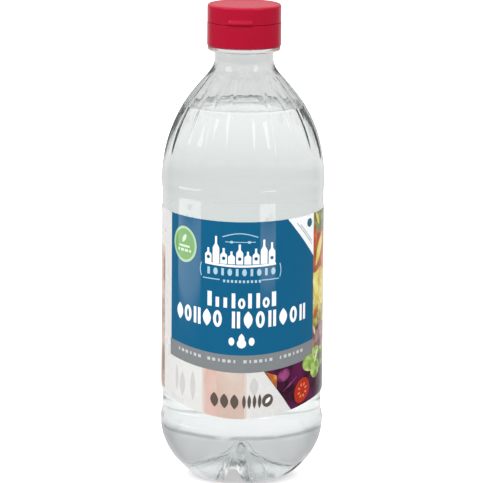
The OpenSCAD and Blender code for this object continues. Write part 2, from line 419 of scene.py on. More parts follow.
def makeFloor():
    # A square of white paper at z = 0
    side = np.linspace(-1, 1, 9) * stageLook["floorSize"]
    x, y = np.meshgrid(side, side)
    mesh = bpy.data.meshes.new("floor")
    points = np.stack([x, y, 0 * x], axis=-1).reshape(-1, 3)
    mesh.from_pydata(points.tolist(), [], gridFaces(9, 9, False).tolist())
    floor = bpy.data.objects.new("floor", mesh)
    bpy.context.scene.collection.objects.link(floor)
    shade = stageLook["floorShade"]
    mesh.materials.append(solidMaterial("floorPaint", (shade, shade, shade), dict(
        scale=4.0, shade=0.01, gloss=0.9, spread=0.02, specular=0.0, bump=0.05, bumpDepth=0.0005)))
    # One glow that only the camera sees keeps the paper white round the soft shadow under the bottle. The
    # other, for all other rays near the axis, stands in for the light that the clear body lets through.
    tree = mesh.materials[0].node_tree
    shader = tree.nodes["Principled BSDF"]
    ray = tree.nodes.new("ShaderNodeLightPath").outputs
    paint = shader.inputs["Base Color"].links[0].from_socket
    seenThrough = rampNode(tree, ray["Is Transmission Ray"], 0.0, 1.0, 1.0, stageLook["floorThrough"])
    feed(tree, shader.inputs["Base Color"], scaleNode(tree, paint, seenThrough))
    away = splitPlace(tree, placeOn(tree))[3]
    under = rampNode(tree, away, *stageLook["underReach"], stageLook["underGlow"], 0.0)
    seen = rampNode(tree, away, *stageLook["seenReach"], stageLook["underSeen"], stageLook["floorGlow"])
    feed(tree, shader.inputs["Emission Color"], (1, 1, 1))
    feed(tree, shader.inputs["Emission Strength"], mixNode(tree, ray["Is Camera Ray"], under, seen))
    floor.visible_glossy = False


def makeSky():
    # Reflections see a sky that is bright above and behind and dim below. Rays through clear bodies see an
    # even grey, matt surfaces are lit by an even paler one, and the camera sees white.
    world = bpy.data.worlds.new("studio")
    bpy.context.scene.world = world
    world.use_nodes = True
    tree = world.node_tree
    background = tree.nodes["Background"]
    feed(tree, background.inputs["Color"], (1, 1, 1))
    world.cycles.sampling_method = "NONE"  # so that each kind of ray sees only its own sky
    ray = tree.nodes.new("ShaderNodeLightPath").outputs
    where = tree.nodes.new("ShaderNodeTexCoord").outputs["Generated"]
    y, z = splitPlace(tree, where)[1:3]
    above = rampNode(tree, z, 0.0, 0.6, stageLook["skyBelow"], stageLook["skyAbove"])
    behind = rampNode(tree, y, 0.5, 0.85, 0.0, stageLook["skyBehind"])
    nearHorizon = rampNode(tree, z, 0.02, 0.12, 1.0, 0.0)
    reflected = mathNode(tree, "MAXIMUM", above, mathNode(tree, "MULTIPLY", behind, nearHorizon))
    strength = mixNode(tree, ray["Is Glossy Ray"], stageLook["skyThrough"], reflected)
    strength = mixNode(tree, ray["Is Transmission Ray"], strength, stageLook["skyThrough"])
    strength = mixNode(tree, ray["Is Diffuse Ray"], strength, stageLook["skyDiffuse"])
    feed(tree, background.inputs["Strength"], mixNode(tree, ray["Is Camera Ray"], strength, 1.0))


def areaLight(name, place, aim, width, height, power):
    # A rectangle of light turned from place towards aim
    data = bpy.data.lights.new(name, "AREA")
    data.shape = "RECTANGLE"
    data.size, data.size_y, data.energy = width, height, power
    light = bpy.data.objects.new(name, data)
    bpy.context.scene.collection.objects.link(light)
    light.location = place
    light.rotation_euler = (Vector(aim) - Vector(place)).to_track_quat("-Z", "Y").to_euler()
    light.visible_camera = False
    light.visible_transmission = False
    return light


def makeLights():
    # Two lights that are never reflected, and soft boxes that only are: power = glow x pi x width x tall
    for name in ("key", "top"):
        look = stageLook[name]
        side, rise = np.radians(look["side"]), np.radians(look["rise"])
        place = look["away"] * aroundAxis(np.cos(rise), side, np.sin(rise))
        size = look["size"]
        light = areaLight(name + "Light", place.tolist(), (0, 0, 0.08), size, size, look["power"])
        light.visible_glossy = False
    reach = 1.4
    for box in softBoxes:
        turn = np.radians(box["angle"])
        width = 2 * reach * np.tan(np.radians(box["spread"] / 2))
        tall = box["high"] - box["low"]
        middle = (box["high"] + box["low"]) / 2
        power = box["glow"] * np.pi * width * tall
        light = areaLight(box["name"], (reach * np.sin(turn), -reach * np.cos(turn), middle), (0, 0, middle),
                          width, tall, power)
        light.visible_diffuse = False


makeCamera()
makeFloor()
makeSky()
makeLights()
bpy.context.scene.view_settings.view_transform = "Standard"
bpy.context.scene.cycles.max_bounces = 24
bpy.context.scene.cycles.transmission_bounces = 20
bpy.context.scene.cycles.glossy_bounces = 8
bpy.context.scene.cycles.caustics_refractive = False
bpy.context.scene.cycles.caustics_reflective = False
print("stage: camera, floor, sky and lights")


bottle = dict(
    panelRadius=33.75 * mm, wall=0.5 * mm, waistDepth=0.5 * mm, waistHeight=32.5 * mm, waistFlat=4 * mm,
    waistBlend=5 * mm, bulgeBlend=6 * mm, shoulderRadius=58.5 * mm, shoulderSlope=38.5, neckFillet=9 * mm,
    neckRadius=12.3 * mm, neckWall=1.6 * mm, neckStraight=3.3 * mm, ringRadius=15.2 * mm, ringTall=1.7 * mm,
    ringGap=0.2 * mm, ribCount=20, ribOut=0.36 * mm, ribHalf=3.4, ribTurn=6.5, ribFrom=10 * mm, ribTo=7 * mm,
    ribInside=0.6, heelHeight=24.5 * mm, heelDrop=28.8 * mm, padWidth=3 * mm, padEdge=0.9 * mm,
    domeTall=17 * mm, feet=5, footTurn=-8.0, channelRadius=2.2 * mm, channelMid=15.2 * mm,
    channelHeel=7.8 * mm, channelDraft=14.0, channelRun=1.5, channelSoft=1.2 * mm, neckBlend=9 * mm,
    footGather=(0.72, 18 * mm, 12 * mm), ribGather=(0.6, 118 * mm, 14 * mm), columns=250)

ringHeight = capBottom - bottle["ringGap"] - bottle["ringTall"]
neckTop = splitHeight - bottle["ringGap"]
filletTop = ringHeight - bottle["neckStraight"]
slope = np.radians(bottle["shoulderSlope"])
roundIn = bottle["shoulderRadius"] * (1 - np.cos(slope))
filletIn = bottle["neckFillet"] * (1 - np.cos(slope))
straightLength = (bulgeRadius - roundIn - bottle["neckRadius"] - filletIn) / np.sin(slope)
roundsTall = (bottle["shoulderRadius"] + bottle["neckFillet"]) * np.sin(slope)
shoulderTall = roundsTall + straightLength * np.cos(slope)
bulgeHeight = filletTop - shoulderTall
padOut = bulgeRadius * np.sqrt(1 - (bottle["heelHeight"] / bottle["heelDrop"]) ** 2)
domeRadius = padOut - bottle["padEdge"] - bottle["padWidth"]
waistRadius = bottle["panelRadius"] - bottle["waistDepth"]


def bodyRadius(z):
    # bulge -> waist -> panel -> bulge, joined by cosine steps
    b = bottle
    low, top = b["waistHeight"] - b["waistFlat"] / 2, b["waistHeight"] + b["waistFlat"] / 2
    heel = ease(bulgeRadius, waistRadius, (z - low + b["waistBlend"]) / b["waistBlend"])
    panel = ease(waistRadius, b["panelRadius"], (z - top) / b["waistBlend"])
    bulge = ease(b["panelRadius"], bulgeRadius, (z - bulgeHeight + b["bulgeBlend"]) / b["bulgeBlend"])
    return np.where(z < b["waistHeight"], heel, np.where(z < bulgeHeight - b["bulgeBlend"], panel, bulge))


def bodyPath():
    # Half section from the middle of the dome to the top of the neck's fillet, in even steps:
    # dome, pad, elliptical heel, body, the shoulder's arc and the fillet's arc
    b = bottle
    dome = np.linspace(0, 1, 80)
    turn = np.linspace(0.12, np.pi / 2, 160)
    heelZ = b["heelHeight"] * (1 - np.cos(turn))
    heelR = bulgeRadius * np.sqrt(1 - ((b["heelHeight"] - heelZ) / b["heelDrop"]) ** 2)
    bodyZ = np.linspace(b["heelHeight"], bulgeHeight, 500)[1:]
    arc = np.linspace(0, slope, 160)[1:]
    fillet = np.linspace(slope, 0, 60)
    rounding, filleting = b["shoulderRadius"], b["neckFillet"]
    parts = [
        (domeRadius * dome, ease(b["domeTall"], 0, dome)),
        (np.linspace(domeRadius, padOut - b["padEdge"], 12)[1:], np.zeros(11)),
        (heelR, heelZ),
        (bodyRadius(bodyZ), bodyZ),
        (bulgeRadius - rounding * (1 - np.cos(arc)), bulgeHeight + rounding * np.sin(arc)),
        (b["neckRadius"] + filleting * (1 - np.cos(fillet)), filletTop - filleting * np.sin(fillet))]
    path = np.concatenate([np.stack(part, axis=-1) for part in parts])
    return evenly(path, 0.1 * mm)


def alongPath(path):
    # The distance along the path at each of its points
    return np.concatenate([[0], np.cumsum(np.linalg.norm(np.diff(path, axis=0), axis=1))])


def evenly(path, step):
    # The same path with its points at even steps
    length = alongPath(path)
    at = np.linspace(0, length[-1], int(length[-1] / step) + 1)
    return np.stack([np.interp(at, length, path[:, k]) for k in (0, 1)], axis=-1)


def rowsOf(path, spacing):
    # Rows at even steps of the integral of 1 / spacing along the path
    length = alongPath(path)
    middle = (path[1:, 1] + path[:-1, 1]) / 2
    total = np.concatenate([[0], np.cumsum(np.diff(length) / spacing(middle))])
    at = np.interp(np.linspace(0, total[-1], int(total[-1]) + 2), total, length)
    return np.stack([np.interp(at, length, path[:, k]) for k in (0, 1)], axis=-1)


def rowSpacing(z):
    # Rows lie close on the base, the beads and the shoulder, and far apart on the panel (all in millimetres)
    marks = [0, 22, 27, 41, 44, 117, 121, 135, 172, 178]
    steps = [0.62, 0.75, 1.2, 1.2, 9, 9, 1.2, 0.95, 0.95, 0.7]
    return np.interp(z / mm, marks, steps) * mm


def bodyAngles(rows, columns):
    # angle = u - k sin(n (u - c)) / n draws the columns together at the channels below and at the ribs above
    b = bottle
    u = np.arange(columns) / columns * 2 * np.pi
    footShare, footTop, footFade = b["footGather"]
    ribShare, ribLow, ribFade = b["ribGather"]
    base = ease(footShare, 0, (rows[:, 1] - footTop) / footFade)[:, None]
    top = ease(0, ribShare, (rows[:, 1] - ribLow) / ribFade)[:, None]
    foot, rib = np.radians(b["footTurn"]), np.radians(b["ribTurn"])
    return (u - base * np.sin(b["feet"] * (u - foot)) / b["feet"]
            - top * np.sin(b["ribCount"] * (u - rib)) / b["ribCount"])


def ribHeight(angle, z):
    # (1 + cos(pi d / half)) / 2 across, for d within half, and sin^0.4 along the run
    b = bottle
    step = 2 * np.pi / b["ribCount"]
    d = (angle - np.radians(b["ribTurn"]) + step / 2) % step - step / 2
    across = (1 + np.cos(np.pi * np.clip(np.abs(d) / np.radians(b["ribHalf"]), 0, 1))) / 2
    low, top = bulgeHeight + b["ribFrom"], filletTop - b["ribTo"]
    run = np.clip((z - low) / (top - low), 0, 1)
    return b["ribOut"] * across * np.sin(np.pi * run) ** 0.4


def channelRoof(x, y):
    # Over the channel's middle line a round roof, then leaning flanks, all sloping down towards the heel. At
    # the distance d from it z = centre + sqrt(r^2 - d^2), and past the edge (d - edge) / tan(draft) less.
    b = bottle
    draft = np.radians(b["channelDraft"])
    roof = np.full(x.shape, -1.0)
    for k in range(b["feet"]):
        turn = np.radians(b["footTurn"]) + 2 * np.pi * k / b["feet"]
        along = x * np.sin(turn) - y * np.cos(turn)
        across = np.abs(x * np.cos(turn) + y * np.sin(turn))
        fall = (b["channelMid"] - b["channelHeel"]) * along / (b["channelRun"] * padOut)
        centre = b["channelMid"] - b["channelRadius"] - fall
        edge = b["channelRadius"] * np.cos(draft)
        arch = np.sqrt(np.clip(b["channelRadius"] ** 2 - np.minimum(across, edge) ** 2, 0, None))
        height = centre + arch - np.clip(across - edge, 0, None) / np.tan(draft)
        roof = np.where(along > 0, np.maximum(roof, height), roof)
    return roof


def gridNormals(grid):
    # Cross product of the steps along rows and columns, unit length, pointing out of the body
    down = np.gradient(grid, axis=0)
    across = (np.roll(grid, -1, axis=1) - np.roll(grid, 1, axis=1)) / 2
    normal = np.cross(across, down)
    length = np.linalg.norm(normal, axis=-1, keepdims=True)
    return normal / np.maximum(length, 1e-12)


bodyRows = rowsOf(bodyPath(), rowSpacing)


def wallGrid(rows, ribShare, depth):
    # The body's surface with ribs raised by a share and channels pressed in, moved inwards by depth
    angle = bodyAngles(rows, bottle["columns"])
    radius, height = rows[:, :1] + 0 * angle, rows[:, 1:] + 0 * angle
    flat = aroundAxis(radius, angle, height)
    pressed = smoothMax(flat[..., 2], channelRoof(flat[..., 0], flat[..., 1]), bottle["channelSoft"])
    onBase = height < bottle["heelHeight"]
    flat[..., 2] = np.where(onBase, pressed, height)
    normal = gridNormals(flat)
    normal[0] = (0, 0, -1)
    rib = ribHeight(angle, height)[..., None] * ribShare
    return flat + normal * (rib - np.reshape(depth, (-1, 1, 1)))


def neckOuter():
    # Half section up the outside of the neck, round the support ring, to the inside of the mouth
    b = bottle
    r, ring, low, top = b["neckRadius"], b["ringRadius"], ringHeight, ringHeight + b["ringTall"]
    return softCorners([
        (r, filletTop + 1 * mm, 0), (r, low, 0.5 * mm), (ring, low, 0.45 * mm), (ring, top, 0.3 * mm),
        (r, top, 0.4 * mm), (r, neckTop, 0.5 * mm), (r - b["neckWall"], neckTop, 0)])


def neckInner():
    # Half section down the inside of the neck
    b = bottle
    r = b["neckRadius"] - b["neckWall"]
    return np.array([(r, neckTop), (r, neckTop - 1 * mm), (r, ringHeight), (r, filletTop + 1 * mm)])


def makeBottle(material):
    # Up the outside of body and neck and down their inside, the wall thickening by a cosine towards the neck
    b = bottle
    outer = wallGrid(bodyRows, 1.0, np.zeros(len(bodyRows)))
    thick = ease(b["wall"], b["neckWall"], (bodyRows[:, 1] - filletTop + b["neckBlend"]) / b["neckBlend"])
    inner = wallGrid(bodyRows, b["ribInside"], thick)
    angle = bodyAngles(np.array([[0, filletTop]]), b["columns"])
    neck = [aroundAxis(path[:, :1], angle, path[:, 1:]) for path in (neckOuter(), neckInner()[1:])]
    shell = np.concatenate([outer] + neck + [inner[::-1]])
    addPiece("bottleShell", turned(shell, poles=(True, True)), material, ["bottle"])


def paintBaseShading(material, look):
    # The moulded base gets painted shade below a broken line round its top, a darker painted line of shade
    # along that line, and painted light in its channels
    tree = material.node_tree
    marks = placeGroup(tree, baseShadingMasks, {
        "Count": float(bottle["feet"]), "Turn": float(np.radians(bottle["footTurn"])),
        "Height": look["height"], "Wobble": look["wobble"]})
    colour = mixNode(tree, marks["Zone"], look["wallTint"], look["baseShadeTint"], "RGBA")
    colour = mixNode(tree, marks["Star"], colour, look["channelLightTint"], "RGBA")
    colour = mixNode(tree, marks["Line"], colour, look["lineShadeTint"], "RGBA")
    feed(tree, tree.nodes["Principled BSDF"].inputs["Base Color"], colour)
    return marks


def strengthenBase(material, marks, look):
    # The base's ripple is deeper and its channels stand out. The channels and their edges glow a little as
    # painted highlights. The support ring, where z is within half its height of its middle, glows faintly in
    # the cap's colour as a painted reflection of the cap.
    tree = material.node_tree
    shader = tree.nodes["Principled BSDF"]
    bump = tree.nodes["Bump"].inputs["Height"]
    gain = rampNode(tree, marks["Zone"], 0.0, 1.0, 1.0, look["ripple"])
    star = mathNode(tree, "MULTIPLY", marks["Star"], look["relief"])
    feed(tree, bump, mathNode(tree, "MULTIPLY_ADD", bump.links[0].from_socket, gain, star))
    edge = mathNode(tree, "MULTIPLY", marks["Edge"], look["edgeGlow"])
    glow = mathNode(tree, "MULTIPLY_ADD", marks["Star"], look["channelGlow"], edge)
    z = splitPlace(tree, placeOn(tree))[2]
    half = bottle["ringTall"] / 2
    atRing = mathNode(tree, "COMPARE", z, float(ringHeight + half), half + 0.15 * mm)
    feed(tree, shader.inputs["Emission Color"], mixNode(tree, atRing, glow, look["ringGlow"], "RGBA"))
    shader.inputs["Emission Strength"].default_value = 1.0


petLook = dict(tint=(0.955, 0.97, 0.965), ior=1.57, roughness=0.02, rippleScale=70.0, rippleFine=0.25,
               rippleStrength=0.25, rippleDepth=0.4 * mm)
# The base's darker tint below the line and its darker line are painted shade. The lighter channels and the
# edge and channel glows are painted highlights, and the ring's glow is a painted reflection of the cap.
baseLook = dict(height=22.3 * mm, wobble=3 * mm, wallTint=petLook["tint"], baseShadeTint=(0.90, 0.91, 0.915),
                channelLightTint=(0.99, 1.0, 1.0), lineShadeTint=(0.66, 0.68, 0.68), ripple=2.0, relief=2.5,
                edgeGlow=0.08, channelGlow=0.01, ringGlow=(0.055, 0.0363, 0.0352))
petClear = clearMaterial("petClear", petLook)
strengthenBase(petClear, paintBaseShading(petClear, baseLook), baseLook)
makeBottle(petClear)
print("bottle: shell with ribs, channels, neck and ring")


vinegar = dict(bite=0.06 * mm, climb=0.8 * mm, hold=1.3 * mm)


def makeVinegar(material):
    # The wall's inner form up to the level, closed by a surface that climbs at the wall:
    # z = level + climb exp(-distance / hold)
    path = bodyPath()
    top = levelHeight + vinegar["climb"]
    path = path[path[:, 1] < top]
    rows = rowsOf(path, rowSpacing)
    side = wallGrid(rows, bottle["ribInside"], np.full(len(rows), bottle["wall"] - vinegar["bite"]))
    rim = side[-1].copy()
    side[-1, :, 2] = top
    rimRadius = np.linalg.norm(rim[:, :2], axis=1)
    inwards = np.array([0.15, 0.35, 0.6, 0.9, 1.3, 1.8, 2.5, 3.5, 5, 8, 12, 18]) * mm
    share = 1 - inwards[:, None] / rimRadius[None]
    share = np.concatenate([share, np.zeros((1, len(rim)))])
    height = levelHeight + vinegar["climb"] * np.exp(-np.append(inwards, 1) / vinegar["hold"])
    surface = np.stack([
        share * rim[:, 0], share * rim[:, 1], np.broadcast_to(height[:, None], share.shape)], axis=-1)
    grid = np.concatenate([side, surface])
    addPiece("vinegarBody", turned(grid, poles=(True, True)), material, ["vinegar"])


vinegarLook = dict(tint=(0.975, 0.985, 0.985), ior=1.34, roughness=0.0, rippleScale=60.0, rippleFine=0.2,
                   rippleStrength=0.1, rippleDepth=0.2 * mm)
# The vinegar's base keeps only the painted lighter channels; its other base tints are its own tint.
vinegarBaseLook = dict(
    baseLook, wallTint=vinegarLook["tint"], baseShadeTint=vinegarLook["tint"], lineShadeTint=vinegarLook["tint"],
    channelLightTint=(1.0, 1.0, 1.0))
vinegarClear = clearMaterial("vinegarClear", vinegarLook)
paintBaseShading(vinegarClear, vinegarBaseLook)
makeVinegar(vinegarClear)
print("vinegar: filled to", round(levelHeight / mm, 1), "mm")


cap = dict(
    radius=15.5 * mm, bore=12.45 * mm, foot=0.45 * mm, lidRound=1.3 * mm, parting=0.3 * mm, turn=-6.5,
    lipHalf=19.8, lipFade=3.0, lipOut=0.65 * mm, lipFrom=0.25 * mm, lipTall=1.5 * mm, scoop=0.3 * mm,
    scoopTall=2.2 * mm, dish=0.25 * mm, rim=1.6 * mm, hingeWidth=9 * mm, hingeOut=0.6 * mm,
    hingeTall=3.4 * mm, columns=288, colour=(0.37, 0.0015, 0.022))


def lipWindow(angle):
    # 1 over the lip's width and 0 beyond it, with cosine edges
    away = np.abs((angle - np.radians(cap["turn"]) + np.pi) % (2 * np.pi) - np.pi)
    return ease(1, 0, (np.degrees(away) - cap["lipHalf"] + cap["lipFade"]) / cap["lipFade"])


def capGrid(path, bump):
    # The path turned round the axis, its outside moved out by window(angle) x bump(height)
    angle = (np.arange(cap["columns"]) / cap["columns"] * 2 * np.pi)[None]
    outside = path[:, :1] > cap["radius"] - 0.6 * mm
    radius = path[:, :1] + np.where(outside, bump(path[:, 1:]), 0) * lipWindow(angle)
    return aroundAxis(radius, angle, path[:, 1:] + 0 * angle)


def denser(path, step):
    # The path's own points with others between them, a step apart along it
    length = alongPath(path)
    extra = np.arange(0, length[-1], step)
    at = np.unique(np.concatenate([length, extra]))
    at = at[np.append(True, np.diff(at) > 0.03 * mm)]
    return np.stack([np.interp(at, length, path[:, k]) for k in (0, 1)], axis=-1)


def makeCap(material):
    # The skirt's section turned round the axis, pressed in under the lip by scoop, which fades downwards
    c = cap
    r, bore, low, top = c["radius"], c["bore"], capBottom, splitHeight
    path = softCorners([
        (bore, top, 0), (bore, low, 0.3 * mm), (r, low, c["foot"]), (r, top - 0.02 * mm, c["parting"]),
        (bore, top - 0.02 * mm, 0)])
    path = denser(path, 0.35 * mm)

    def scooped(z):
        down = top - z
        return -c["scoop"] * ease(1, 0, (down - 0.4 * mm) / c["scoopTall"]) * (down < 6 * mm)

    skirt = capGrid(path, scooped)
    addPiece("capSkirt", turned(skirt, wrapRows=True), material, ["cap"])


def makeLid(material):
    # The lid's section turned round the axis, with a dished top and a lip that starts steep and fades out
    c = cap
    r, low, top = c["radius"], splitHeight, lidTop
    path = softCorners([
        (0, low, 0), (r - 0.45 * mm, low, 0.1 * mm), (r - 0.05 * mm, low + c["parting"], 0.2 * mm),
        (r - 0.05 * mm, top, c["lidRound"]), (r - c["rim"], top, 0.5 * mm),
        (r - c["rim"] - 0.8 * mm, top - c["dish"], 0.5 * mm), (0, top - c["dish"], 0)], steps=7)
    path = denser(path, 0.35 * mm)
    path[0, 0] = path[-1, 0] = 0

    def lipped(z):
        up = z - low - c["lipFrom"]
        rising = ease(0, 1, up / (0.3 * mm))
        falling = ease(1, 0, (up - 0.5 * c["lipTall"]) / c["lipTall"])
        return c["lipOut"] * rising * falling

    addPiece("flipLid", turned(capGrid(path, lipped), poles=(True, True)), material, ["lid"])


def makeHinge(material):
    # A pillow x across, z up: out = hingeOut sqrt((1 - u^4)(1 - v^4)), wrapped on the cap's side at the back
    c = cap
    u, v = np.meshgrid(np.linspace(-1, 1, 25), np.linspace(-1, 1, 17))
    turn = np.radians(c["turn"]) + np.pi
    out = c["hingeOut"] * np.sqrt(np.clip((1 - u ** 4) * (1 - v ** 4), 0, None))
    angle = turn + u * c["hingeWidth"] / 2 / c["radius"]
    height = splitHeight + v * c["hingeTall"] / 2
    front = aroundAxis(c["radius"] - 0.1 * mm + out, angle, height)
    back = aroundAxis(c["radius"] - 0.35 * mm + 0 * out, angle, height)
    addPiece("lidHinge", slab(front, back), material)


capPlastic = solidMaterial("capPlastic", cap["colour"], dict(
    scale=420.0, shade=0.05, gloss=0.22, spread=0.06, specular=0.22, bump=0.12, bumpDepth=0.05 * mm))
makeCap(capPlastic)
makeLid(capPlastic)
makeHinge(capPlastic)
print("cap: skirt, lid and hinge")


label = dict(
    gap=0.05 * mm, thick=0.15 * mm, bottom=30.5 * mm, tall=83 * mm, riseLow=7.3 * mm, riseTop=1.7 * mm,
    columns=240, lift=0.02 * mm)
filmRadius = bottle["panelRadius"] + label["gap"] + label["thick"]


def labelPoint(arc, height, out):
    # angle = arc / R and z = low + height / tall x (top - low), where both edges rise as sin^2(angle)
    angle = arc / filmRadius
    swing = np.sin(angle) ** 2
    low = label["bottom"] + label["riseLow"] * swing
    top = label["bottom"] + label["tall"] + label["riseTop"] * swing
    z = low + height / label["tall"] * (top - low)
    return aroundAxis(bodyRadius(z) + label["gap"] + label["thick"] + out, angle, z)


def makeFilm(material, inside):
    # A closed shell between labelPoint at out = 0 and at out = -thick, its inner faces of another material
    arc = np.arange(label["columns"])[None] / label["columns"] * 2 * np.pi * filmRadius
    share = np.concatenate([np.linspace(0, 0.14, 15), np.linspace(0.14, 1, 14)[1:]])
    height = share[:, None] * label["tall"]
    outer = labelPoint(arc, height, 0)
    inner = labelPoint(arc, height, -label["thick"])
    film = turned(np.concatenate([outer, inner[::-1]]), wrapRows=True)
    piece = addPiece("labelFilm", film, material, ["label"], crease=40.0)
    piece.data.materials.append(inside)
    row = np.arange(len(piece.data.polygons)) // label["columns"]
    backs = (row >= len(height)) & (row < 2 * len(height) - 1)
    piece.data.polygons.foreach_set("material_index", backs.astype(np.int32))


def printed(shapes, layer):
    # Flat shapes (arc, height grids) laid on the film as thin plates, one layer above another
    outer = label["lift"] * layer
    inner = outer - 0.6 * label["lift"]
    return joined([slab(labelPoint(a, h, outer), labelPoint(a, h, inner)) for a, h in shapes])


def addPrint(name, shapes, layer, inkName):
    addPiece(name, printed(shapes, layer), inks[inkName], crease=40.0)


def spread(low, high, count):
    return np.linspace(low, high, count)


def field(left, right, bottomLine, topLine):
    # All points between two height lines, each a function of the arc, with close rows on the curved foot
    columns = max(2, int((right - left) / 0.8) + 2)
    arc = spread(left, right, columns)[None]
    low = bottomLine(arc) + 0 * arc
    top = topLine(arc) + 0 * arc
    rows = 5 if low.min() > 14 else int((top - low).max() / 0.9) + 2
    share = spread(0, 1, rows)[:, None]
    return np.broadcast_to(arc, (rows, columns)) * mm, (low + share * (top - low)) * mm


def disc(arc, height, halfWide, halfTall, turn=0.0, size=11):
    # The square (u, v) drawn into a circle: x = u sqrt(1 - v^2 / 2), y = v sqrt(1 - u^2 / 2)
    u, v = np.meshgrid(spread(-1, 1, size), spread(-1, 1, size))
    x = halfWide * u * np.sqrt(1 - v * v / 2)
    y = halfTall * v * np.sqrt(1 - u * u / 2)
    c, s = np.cos(np.radians(turn)), np.sin(np.radians(turn))
    return (arc + x * c - y * s) * mm, (height + x * s + y * c) * mm


def leaf(arc, height, length, width, turn, size=13):
    # A lens: half width = width / 2 x (1 - u^2) along its length
    u, v = np.meshgrid(spread(-1, 1, size), spread(-1, 1, 5))
    x = u * length / 2
    y = v * width / 2 * (1.02 - u * u)
    c, s = np.cos(np.radians(turn)), np.sin(np.radians(turn))
    return (arc + x * c - y * s) * mm, (height + x * s + y * c) * mm


def bar(arc, height, wide, tall):
    # An upright block
    x, y = np.meshgrid(spread(-0.5, 0.5, 4), spread(-0.5, 0.5, 5))
    return (arc + x * wide) * mm, (height + y * tall) * mm


def stroke(arcs, heights, width):
    # A line of even width through points, moved to both sides along its normal
    points = np.stack([arcs, heights], axis=-1)
    along = np.gradient(points, axis=0)
    normal = np.stack([-along[:, 1], along[:, 0]], axis=-1)
    normal /= np.linalg.norm(normal, axis=1, keepdims=True)
    sides = np.stack([points - normal * width / 2, points + normal * width / 2])
    return sides[..., 0] * mm, sides[..., 1] * mm


def flatStroke(left, right, height, width, count=9):
    return stroke(spread(left, right, count), np.full(count, height), width)


def level(value):
    return lambda arc: value + 0 * arc


inkLook = dict(
    scale=300.0, shade=0.05, gloss=0.07, spread=0.03, specular=0.45, bump=0.05, bumpDepth=0.02 * mm)
flatInks = dict(
    White=(0.83, 0.85, 0.86), Blue=(0.001, 0.096, 0.205), Grey=(0.19, 0.205, 0.212),
    PaleBlue=(0.38, 0.54, 0.64), PaleGreen=(0.36, 0.55, 0.34), Green=(0.16, 0.34, 0.11),
    BadgeMarks=(0.55, 0.70, 0.50), PaleGrey=(0.52, 0.54, 0.55), Dark=(0.10, 0.075, 0.065),
    LineGrey=(0.30, 0.31, 0.32), Teal=(0.03, 0.12, 0.16), PaleBlush=(0.61, 0.54, 0.50),
    Smear=(0.53, 0.53, 0.52), Tomato=(0.40, 0.022, 0.008), Seeds=(0.60, 0.20, 0.08))

# Inks of the picture and the soft patches: two colours, and the scale of the noise that mixes them
mixedInks = dict(
    Blush=((0.54, 0.40, 0.34), (0.60, 0.50, 0.44), 70.0),
    DeepBlush=((0.59, 0.37, 0.32), (0.61, 0.46, 0.41), 90.0),
    Tan=((0.20, 0.08, 0.05), (0.58, 0.42, 0.33), 110.0),
    Leaves=((0.08, 0.09, 0.02), (0.25, 0.26, 0.09), 260.0),
    Carrot=((0.30, 0.04, 0.01), (0.42, 0.12, 0.04), 200.0),
    Pepper=((0.55, 0.36, 0.05), (0.68, 0.62, 0.16), 220.0),
    Marrow=((0.22, 0.14, 0.03), (0.55, 0.52, 0.12), 260.0),
    Onion=((0.10, 0.02, 0.04), (0.34, 0.20, 0.17), 260.0),
    Salad=((0.10, 0.22, 0.02), (0.50, 0.62, 0.14), 260.0),
    Yellow=((0.62, 0.48, 0.06), (0.74, 0.70, 0.26), 240.0),
    RedPieces=((0.50, 0.05, 0.015), (0.60, 0.16, 0.04), 260.0),
    PalePieces=((0.50, 0.55, 0.30), (0.70, 0.70, 0.55), 300.0),
    Cabbage=((0.018, 0.003, 0.009), (0.085, 0.006, 0.05), 180.0),
    Squash=((0.36, 0.09, 0.02), (0.58, 0.27, 0.04), 260.0),
    RedOnion=((0.12, 0.006, 0.07), (0.28, 0.06, 0.17), 300.0),
    Lettuce=((0.12, 0.26, 0.03), (0.48, 0.60, 0.18), 240.0))


def mixedInk(name, first, second, scale):
    # first + (second - first) t, where t rises with a noise, as in a printed picture
    material, tree, shader = newMaterial(name)
    noise = noiseNode(tree, placeOn(tree), scale, 3.0)
    grained(tree, shader, mixNode(tree, rampNode(tree, noise, 0.38, 0.62), first, second, "RGBA"), inkLook)
    return material


inks = {name: solidMaterial("ink" + name, colour, inkLook) for name, colour in flatInks.items()}
inks.update({name: mixedInk("ink" + name, *parts) for name, parts in mixedInks.items()})

# Places on the label in millimetres: arc from the middle of the front, height above the lower edge
front = dict(half=35.6, blueLow=27.0, greyLow=19.6, top=83.0, pictureEnd=62.0)


def makeFields():
    # The blue field and the grey band under it
    f = front
    blue = field(-f["half"], f["half"], level(f["blueLow"]), level(f["top"]))
    grey = field(-f["half"] - 0.6, f["half"], level(f["greyLow"]), level(f["blueLow"]))
    addPrint("printBlueField", [blue], 1, "Blue")
    addPrint("printGreyBand", [grey], 1, "Grey")


def makeBadge():
    # A round badge with a leaf and two bars
    place = -26.8
    marks = [leaf(place, 73.4, 4.4, 1.8, 60), bar(place, 70.0, 6.0, 0.9), bar(place, 68.2, 7.4, 1.1)]
    addPrint("printBadgeMarks", marks, 4, "BadgeMarks")
    addPrint("printBadgeRing", [disc(place, 70.8, 6.6, 7.8, size=17)], 2, "PaleGreen")
    addPrint("printBadge", [disc(place, 70.8, 5.6, 6.7, size=17)], 3, "Green")


def bottleShape(arc, foot, wide, tall):
    # A small bottle's outline as a grid: half width narrows to the neck above 60 % of its height
    share = spread(0, 1, 15)[:, None]
    half = wide / 2 * (0.3 + 0.7 * ease(1, 0, (share - 0.55) / 0.2))
    x = arc + spread(-1, 1, 5)[None] * half
    return x * mm, (foot + tall * share + 0 * x) * mm


